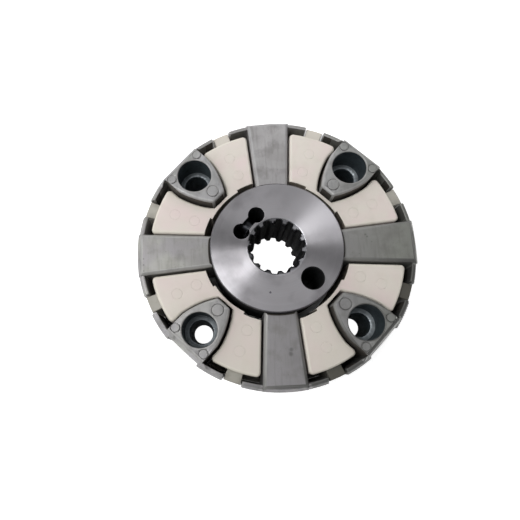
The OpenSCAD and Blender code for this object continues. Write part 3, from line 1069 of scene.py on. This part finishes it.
@dataclass
class FlangeJaws:
    """The four jaws that bolt to the engine flange."""

    drawing: Drawing = Drawing(45)
    top_z: float = 43.0
    wing_top: float = 36.6
    bolt: Zone = Zone(0.0, 80.0, 12.3)
    seat_z: float = 23.5
    # The bare casting marks on the top, each over a dowel hole in the back
    marks: tuple[Zone, ...] = (Zone(0.0, 61.6, 4.6), Zone(-13.2, 90.0, 3.6), Zone(13.2, 90.0, 3.6))
    dowel_r: float = 2.7
    dowel_top: float = 11.0
    # The roundings of the top edges, the side edges, the back's edges, the wings' edges and the small rims
    edge: float = 1.7
    side_edge: float = 1.2
    back_edge: float = 0.6
    wing_edge: float = 0.45
    rim_edge: float = 0.3
    # How near the top and the back an edge belongs to it
    top_near: float = 0.2
    back_near: float = 1.0
    # From the counterbore's wall: inwards to the sharp edges, outwards over its rim, and to the side walls
    bore_in: float = 0.5
    bore_rim: float = 1.2
    bore_out: float = 0.3
    # Where the wings' edges begin, outwards and across, where their skin begins and where the side walls end
    wing_out: float = 91.0
    wing_across: float = 12.0
    wing_skin_r: float = 95.0
    side_out: float = 93.0

    def width_at(self, spot: Spot, angle: float) -> float:
        """Gives the rounding of an edge.

        Args:
            spot: The edge's middle.
            angle: The edge's angle in degrees, below zero in a hollow.

        Returns:
            The width in millimetres.
        """
        at_back = spot.z < self.back_near
        on_mark = any(mark.away(spot) < 0 for mark in self.marks)
        in_bore = self.bolt.away(spot) < -self.bore_in
        if on_mark and angle > 0 and spot.z > self.top_z + self.top_near:
            return self.rim_edge
        if angle < 0 or ((on_mark or in_bore) and not at_back):
            return 0.0
        if on_mark or self.bolt.away(spot) < self.bore_rim:
            return self.rim_edge
        if spot.out > self.wing_out and abs(spot.across) > self.wing_across:
            return self.wing_edge
        if at_back:
            return self.back_edge
        return self.edge if spot.z > self.top_z - self.top_near else self.side_edge

    def between(self, spot: Spot, top: float) -> bool:
        """Tells whether a place lies above the back and below a height."""
        return TOUCH < spot.z < top

    def in_bore(self, spot: Spot, normal: Vector) -> bool:
        """Tells whether a face is a wall of the bolt hole, its counterbore or a dowel hole.

        Args:
            spot: The face's middle.
            normal: The face's normal.

        Returns:
            True for the drilled faces.
        """
        in_dowel = any(mark._replace(reach=self.dowel_r).away(spot) < 0 for mark in self.marks)
        in_bolt_hole = self.bolt.away(spot) < TOUCH and abs(normal.z) < STEEP
        if in_dowel and self.between(spot, self.dowel_top):
            return True
        return in_bolt_hole and self.between(spot, self.top_z - TOUCH)

    def on_seat(self, spot: Spot, normal: Vector) -> bool:
        """Tells whether a face is the ring that the bolt's washer sits on."""
        return self.bolt.away(spot) < 0 and abs(spot.z - self.seat_z) < TOUCH

    def on_back(self, spot: Spot, normal: Vector) -> bool:
        """Tells whether a face lies in the jaw's back."""
        return spot.z < TOUCH

    def on_wing(self, spot: Spot, normal: Vector) -> bool:
        """Tells whether a face belongs to an outer wing."""
        return spot.radius > self.wing_skin_r and self.between(spot, self.wing_top + TOUCH)

    def on_side(self, spot: Spot, normal: Vector) -> bool:
        """Tells whether a face is a wall that looks at the cushions."""
        beside = self.bolt.away(spot) > self.bore_out and spot.out < self.side_out
        return beside and abs(normal.z) < STEEP and self.between(spot, self.top_z - TOUCH)

    def build(self) -> None:
        """Models one jaw, copies it round the axis and dresses all four."""
        first = merged_copy("flange_jaw_1", "flange_jaw_casting_1")
        # The holes and the walls by the cushions take painted shade, and the edges and wings painted shade at
        # the lower right
        dress(
            first, self.drawing, FLANGE_CAST, (CAST_EDGE, None), (HOLE_SHADE, self.in_bore),
            (SPOT_FACED, self.on_seat), (MILLED, self.on_back), (WING_SKIN, self.on_wing),
            (GAP_SHADE, self.on_side),
        )
        round_edges(first, self.drawing, self.width_at, 3, CAST_EDGE)
        seat_round(first, Body.FLANGE, "flange_jaw_casting", "flange_jaw_casting_{}", "flange_jaw_{}")


@dataclass
class HubJaws:
    """The four jaws that are screwed on the hub."""

    drawing: Drawing = Drawing(90)
    top_z: float = 38.6
    hub_r: float = 47.4
    screw_z: float = 21.0
    bore_r: float = 10.0
    # The roundings of the seam above the hub, of the other edges there and of the rest
    seam: float = 1.5
    seat_edge: float = 0.3
    edge: float = 0.6
    # How near the top and the hub an edge belongs to it, and how far out the radial bore's edges stay sharp
    top_near: float = 0.2
    hub_near: float = 0.5
    bore_near: float = 0.3
    bore_out: float = 98.0
    # The ledge over the radial bore is too narrow to round: its radius, its heights and its half width
    ledge_r: float = 97.0
    ledge_z: tuple[float, float] = (32.0, 37.5)
    ledge_half: float = 16.5
    # How far down the cast bevel reaches, and where the wings begin
    bevel_deep: float = 2.0
    wing_across: float = 17.0
    wing_r: float = 95.0

    def bore_away(self, spot: Spot) -> float:
        """Gives how far a place lies outside the radial bore. It is below zero inside."""
        return math.hypot(spot.across, spot.z - self.screw_z) - self.bore_r

    def width_at(self, spot: Spot, angle: float) -> float:
        """Gives the rounding of an edge.

        Args:
            spot: The edge's middle.
            angle: The edge's angle in degrees, below zero in a hollow.

        Returns:
            The width in millimetres.
        """
        in_bore = self.bore_away(spot) < self.bore_near and spot.radius < self.bore_out
        ledge_low, ledge_high = self.ledge_z
        over_bore = ledge_low < spot.z < ledge_high and abs(spot.across) < self.ledge_half
        if angle < 0 or in_bore or (over_bore and spot.radius > self.ledge_r):
            return 0.0
        if spot.radius > self.hub_r + self.hub_near:
            return self.edge
        return self.seam if spot.z > self.top_z - self.top_near else self.seat_edge

    def on_bevel(self, spot: Spot, normal: Vector) -> bool:
        """Tells whether a face is the cast bevel along the top."""
        return spot.z > self.top_z - self.bevel_deep and WALL < normal.z < LEVEL

    def in_bore(self, spot: Spot, normal: Vector) -> bool:
        """Tells whether a face is inside the radial bore for the screw."""
        return self.bore_away(spot) < TOUCH

    def on_wing(self, spot: Spot, normal: Vector) -> bool:
        """Tells whether a face belongs to an outer wing."""
        return abs(spot.across) > self.wing_across and spot.radius > self.wing_r

    def on_seam(self, spot: Spot, normal: Vector) -> bool:
        """Tells whether a face lies in the seam between the jaw and the hub, which takes the painted gap
        shade.
        """
        return spot.radius < self.hub_r + self.seam + TOUCH and normal.z < LEVEL

    def build(self) -> None:
        """Models one jaw, copies it round the axis and dresses all four."""
        first = merged_copy("hub_jaw_1", "hub_jaw_casting_1")
        # The radial bore and the seam by the hub take painted shade, and the bevel and wings painted shade at
        # the lower right
        dress(
            first, self.drawing, HUB_CAST, (CAST_EDGE, self.on_bevel), (HOLE_SHADE, self.in_bore),
            (WING_SKIN, self.on_wing), (GAP_SHADE, None),
        )
        round_edges(first, self.drawing, self.width_at, 2, CAST_EDGE)
        # The seam by the hub takes painted shade
        paint(first, self.drawing, GAP_SHADE, self.on_seam)
        seat_round(first, Body.HUB, "hub_jaw_casting", "hub_jaw_casting_{}", "hub_jaw_{}")


@dataclass
class Fasteners:
    """The jaw screws, the clamping screws and the spring sleeves."""

    drawing: Drawing = Drawing(90)
    edge: float = 0.3
    # Edges that turn by less, in degrees, are the facets of a round
    facet: float = 40.0

    def width_at(self, spot: Spot, angle: float) -> float:
        """Gives the rounding of an edge.

        Args:
            spot: The edge's middle.
            angle: The edge's angle in degrees, below zero in a hollow.

        Returns:
            The width in millimetres.
        """
        return self.edge if angle > self.facet else 0.0

    def model(self, node: str, finish: Finish) -> bpy.types.Object:
        """Models one fastener from its CAD node.

        Args:
            node: The CAD node's name.
            finish: The finish all over.

        Returns:
            The finished object, which rides on nothing yet.
        """
        piece = merged_copy(node, f"{node}_part")
        dress(piece, self.drawing, finish, (RUBBED_OXIDE, None))
        round_edges(piece, self.drawing, self.width_at, 2, RUBBED_OXIDE)
        return piece

    def build(self) -> None:
        """Models the clamping screws, and one jaw screw and one sleeve that are copied round the axis."""
        for node in ("clamp_screw_1", "clamp_screw_2"):
            seat(self.model(node, BLACK_OXIDE), Body.HUB, "black_screw", node)
        for kind, slot, finish in (
            ("jaw_screw", "black_screw", BLACK_OXIDE), ("spring_sleeve", "spring_steel", SPRING_STEEL),
        ):
            first = self.model(f"{kind}_1", finish)
            seat_round(first, Body.HUB, slot, kind + "_{}_part", kind + "_{}")


class Lamp(NamedTuple):
    """A square soft box that shines at the coupling's middle. Lengths are in metres."""

    name: str
    azimuth: float
    rise: float
    away: float
    side: float
    watts: float

    def hang(self, target: Vector) -> None:
        """Hangs the lamp so that it shines at a point.

        Args:
            target: The point, in metres.
        """
        turn, lift = math.radians(self.azimuth), math.radians(self.rise)
        way = Vector((math.cos(turn) * math.cos(lift), math.sin(turn) * math.cos(lift), math.sin(lift)))
        data = bpy.data.lights.new(self.name, "AREA")
        data.shape = "SQUARE"
        data.size = self.side
        data.energy = self.watts
        lamp = bpy.data.objects.new(self.name, data)
        bpy.context.scene.collection.objects.link(lamp)
        lamp.location = way * self.away
        lamp.rotation_euler = (target - lamp.location).to_track_quat("-Z", "Y").to_euler()


@dataclass
class Studio:
    """The floor, the room, the lamps and the camera."""

    floor_half: float = 3000.0
    paper: str = "#DDDDDD"
    # The floor glows outside the rim, which fades in over its softness, and in the bore and the bolt holes
    rim_at: tuple[float, float] = (4.24, 9.86)
    rim_r: float = 111.4
    rim_soft: float = 1.5
    rim_glow: float = 0.72
    bore_r: float = 21.0
    bolt_at: float = 56.57
    bolt_r: float = 7.4
    # The lamps round the coupling, and the height that they shine at
    lamps: tuple[Lamp, ...] = (
        Lamp("key_box", 190.5, 59, 0.75, 0.3, 2.1), Lamp("low_box", 222, 64, 0.75, 0.4, 0.2),
        Lamp("top_box", 75, 50, 0.9, 0.6, 0.55), Lamp("thin_box", 159.7, 55.0, 0.75, 0.035, 0.4),
        Lamp("window_box", 190, 25, 0.9, 0.6, 1.0),
    )
    target_z: float = 30.0
    # Brightness of the room round the compass: direction in degrees, level
    walls: tuple[tuple[float, float], ...] = (
        (-180, 0.54), (-120, 0.36), (-60, 0.3), (0, 0.42), (50, 0.6), (85, 0.95), (120, 0.95), (180, 0.54),
    )
    # A dark beam under the ceiling, by its slopes from the upright: a point, the direction and the half width
    beam_at: tuple[float, float] = (0.131, 0.305)
    beam_degrees: float = 165.0
    beam_half: float = 0.115
    beam_level: float = 0.08
    # Where the beam fades in and out, as shares of its half width, and the least height that it is seen at
    beam_fade: tuple[float, float] = (0.6, 1.4)
    beam_low: float = 0.05
    # The camera: focal length, sensor, shift, place, turn in degrees, and the range that it sees in metres
    lens: float = 26.8989
    sensor: float = 36.0
    shift: tuple[float, float] = (0.07374, 0.06197)
    place: tuple[float, float, float] = (-34.6, -80.39, 306.69)
    turn: tuple[float, float, float] = (10.4743, 1.7035, -2.4959)
    sight: tuple[float, float] = (0.01, 20.0)

    def build(self) -> None:
        """Sets up the floor, the world, the lamps and the camera."""
        self.add_floor()
        self.add_world()
        for lamp in self.lamps:
            lamp.hang(Vector((0, 0, self.target_z * MM)))
        self.add_camera()

    def add_floor(self) -> None:
        """Lays a pale floor that the camera sees as white, and that keeps the object's shadow.

        Under the part it is plain paper, so the narrow gaps between the pieces stay dark.
        """
        deselect_all()
        bpy.ops.mesh.primitive_plane_add(size=2 * self.floor_half * MM, location=(0, 0, 0))
        floor = bpy.context.object
        floor.name = "floor"
        material = bpy.data.materials.new("paper_sheet_matt_white")
        tree = empty_tree(material)
        ray = add_node(tree, Kind.RAY).outputs
        mirrored = {0: ray["Is Glossy Ray"], 1: ray["Is Transmission Ray"]}
        either = add_node(tree, Kind.MATH, mirrored, operation="MAXIMUM")
        seen = add_node(tree, Kind.MATH, {0: ray["Is Camera Ray"], 1: either}, operation="MAXIMUM")
        rim = add_node(tree, Kind.MATH, {0: self.outside(tree), 1: seen}, operation="MULTIPLY")
        holes = {0: self.under_holes(tree), 1: ray["Is Camera Ray"]}
        through = add_node(tree, Kind.MATH, holes, operation="MULTIPLY")
        shine = add_node(tree, Kind.MATH, {0: rim, 1: through}, operation="MAXIMUM")
        glow = add_node(tree, Kind.GLOW, {"Color": "#FFFFFF", "Strength": shine})
        both = add_node(tree, Kind.SUM, {0: add_node(tree, Kind.PAPER, {"Color": self.paper}), 1: glow})
        add_node(tree, Kind.MATERIAL_OUT, {"Surface": both})
        floor.data.materials.append(material)

    def outside(self, tree: Tree) -> Node:
        """Gives the floor's glow round the part, seen by the camera and in mirrors.

        Args:
            tree: The floor's node tree.

        Returns:
            The node that gives the strength.
        """
        place = add_node(tree, Kind.PLACE).outputs["Object"]
        middle = (self.rim_at[0] * MM, self.rim_at[1] * MM, 0.0)
        away = add_node(tree, Kind.VECTOR, {0: place, 1: middle}, operation="DISTANCE").outputs["Value"]
        fade = {"From Min": (self.rim_r - self.rim_soft) * MM, "From Max": self.rim_r * MM}
        return add_node(tree, Kind.RANGE, {"Value": away, **fade, "To Max": self.rim_glow})

    def under_holes(self, tree: Tree) -> Node:
        """Gives one on the floor under the bore and the bolt holes, and none elsewhere.

        Args:
            tree: The floor's node tree.

        Returns:
            The node that gives the share.
        """
        place = add_node(tree, Kind.PLACE).outputs["Object"]
        radius = add_node(tree, Kind.VECTOR, {0: place}, operation="LENGTH").outputs["Value"]
        in_bore = add_node(tree, Kind.MATH, {0: radius, 1: self.bore_r * MM}, operation="LESS_THAN")
        bolt = (self.bolt_at * MM, self.bolt_at * MM, 0.0)
        corner = add_node(tree, Kind.VECTOR, {0: place}, operation="ABSOLUTE")
        away = add_node(tree, Kind.VECTOR, {0: corner, 1: bolt}, operation="DISTANCE").outputs["Value"]
        in_bolt = add_node(tree, Kind.MATH, {0: away, 1: self.bolt_r * MM}, operation="LESS_THAN")
        return add_node(tree, Kind.MATH, {0: in_bore, 1: in_bolt}, operation="MAXIMUM")

    def add_world(self) -> None:
        """Gives a pale room whose walls differ round the compass, and a white background to the camera."""
        world = bpy.data.worlds.new("pale_room")
        bpy.context.scene.world = world
        tree = empty_tree(world)
        way = add_node(tree, Kind.PLACE).outputs["Generated"]
        compass = add_node(tree, Kind.COMPASS, {"Vector": way}, gradient_type="RADIAL")
        ramp = add_node(tree, Kind.RAMP, {0: compass.outputs["Fac"]})
        stops = ramp.color_ramp.elements
        while len(stops) < len(self.walls):
            stops.new(0.5)
        for stop, (degrees, level) in zip(stops, self.walls):
            stop.position = degrees / 360 + 0.5
            stop.color = (level, level, level, 1.0)
        room = add_node(tree, Kind.SKY, {"Color": ramp, "Strength": self.beam(tree, way)})
        white = add_node(tree, Kind.SKY, {"Color": "#FFFFFF", "Strength": 1.0})
        camera = add_node(tree, Kind.RAY).outputs["Is Camera Ray"]
        choice = add_node(tree, Kind.EITHER, {0: camera, 1: room, 2: white})
        add_node(tree, Kind.WORLD_OUT, {"Surface": choice})

    def beam(self, tree: Tree, way: Socket) -> Node:
        """Gives the room's share of light, which is low along the dark beam.

        Args:
            tree: The world's node tree.
            way: The direction that is looked at.

        Returns:
            The node that gives the share.
        """
        turn = math.radians(self.beam_degrees)
        offset = self.beam_at[1] * math.cos(turn) - self.beam_at[0] * math.sin(turn)
        across = (-math.sin(turn), math.cos(turn), 0.0)
        height = add_node(tree, Kind.SPLIT, {0: way}).outputs["Z"]
        lift = add_node(tree, Kind.MATH, {0: height, 1: self.beam_low}, operation="MAXIMUM")
        steep = add_node(tree, Kind.VECTOR, {0: way, 1: lift}, operation="DIVIDE")
        aside = add_node(tree, Kind.VECTOR, {0: steep, 1: across}, operation="DOT_PRODUCT").outputs["Value"]
        away = add_node(tree, Kind.MATH, {0: aside, 1: offset}, operation="SUBTRACT")
        size = add_node(tree, Kind.MATH, {0: away}, operation="ABSOLUTE")
        near, far = (share * self.beam_half for share in self.beam_fade)
        fade = {"From Min": near, "From Max": far, "To Min": self.beam_level}
        return add_node(tree, Kind.RANGE, {"Value": size, **fade})

    def add_camera(self) -> None:
        """Stands the camera where the photograph was taken from."""
        data = bpy.data.cameras.new("camera")
        data.lens = self.lens
        data.sensor_width = self.sensor
        data.shift_x, data.shift_y = self.shift
        data.clip_start, data.clip_end = self.sight
        camera = bpy.data.objects.new("camera", data)
        bpy.context.scene.collection.objects.link(camera)
        camera.location = [length * MM for length in self.place]
        camera.rotation_euler = [math.radians(a) for a in self.turn]
        bpy.context.scene.camera = camera
        bpy.context.scene.view_settings.view_transform = "Standard"


def main() -> None:
    """Builds the coupling and its studio."""
    logging.basicConfig(level=logging.INFO, format="%(message)s")
    for part in (ClampingHub(), CushionRing(), FlangeJaws(), HubJaws(), Fasteners(), Studio()):
        part.build()


if __name__ == "__main__":
    main()
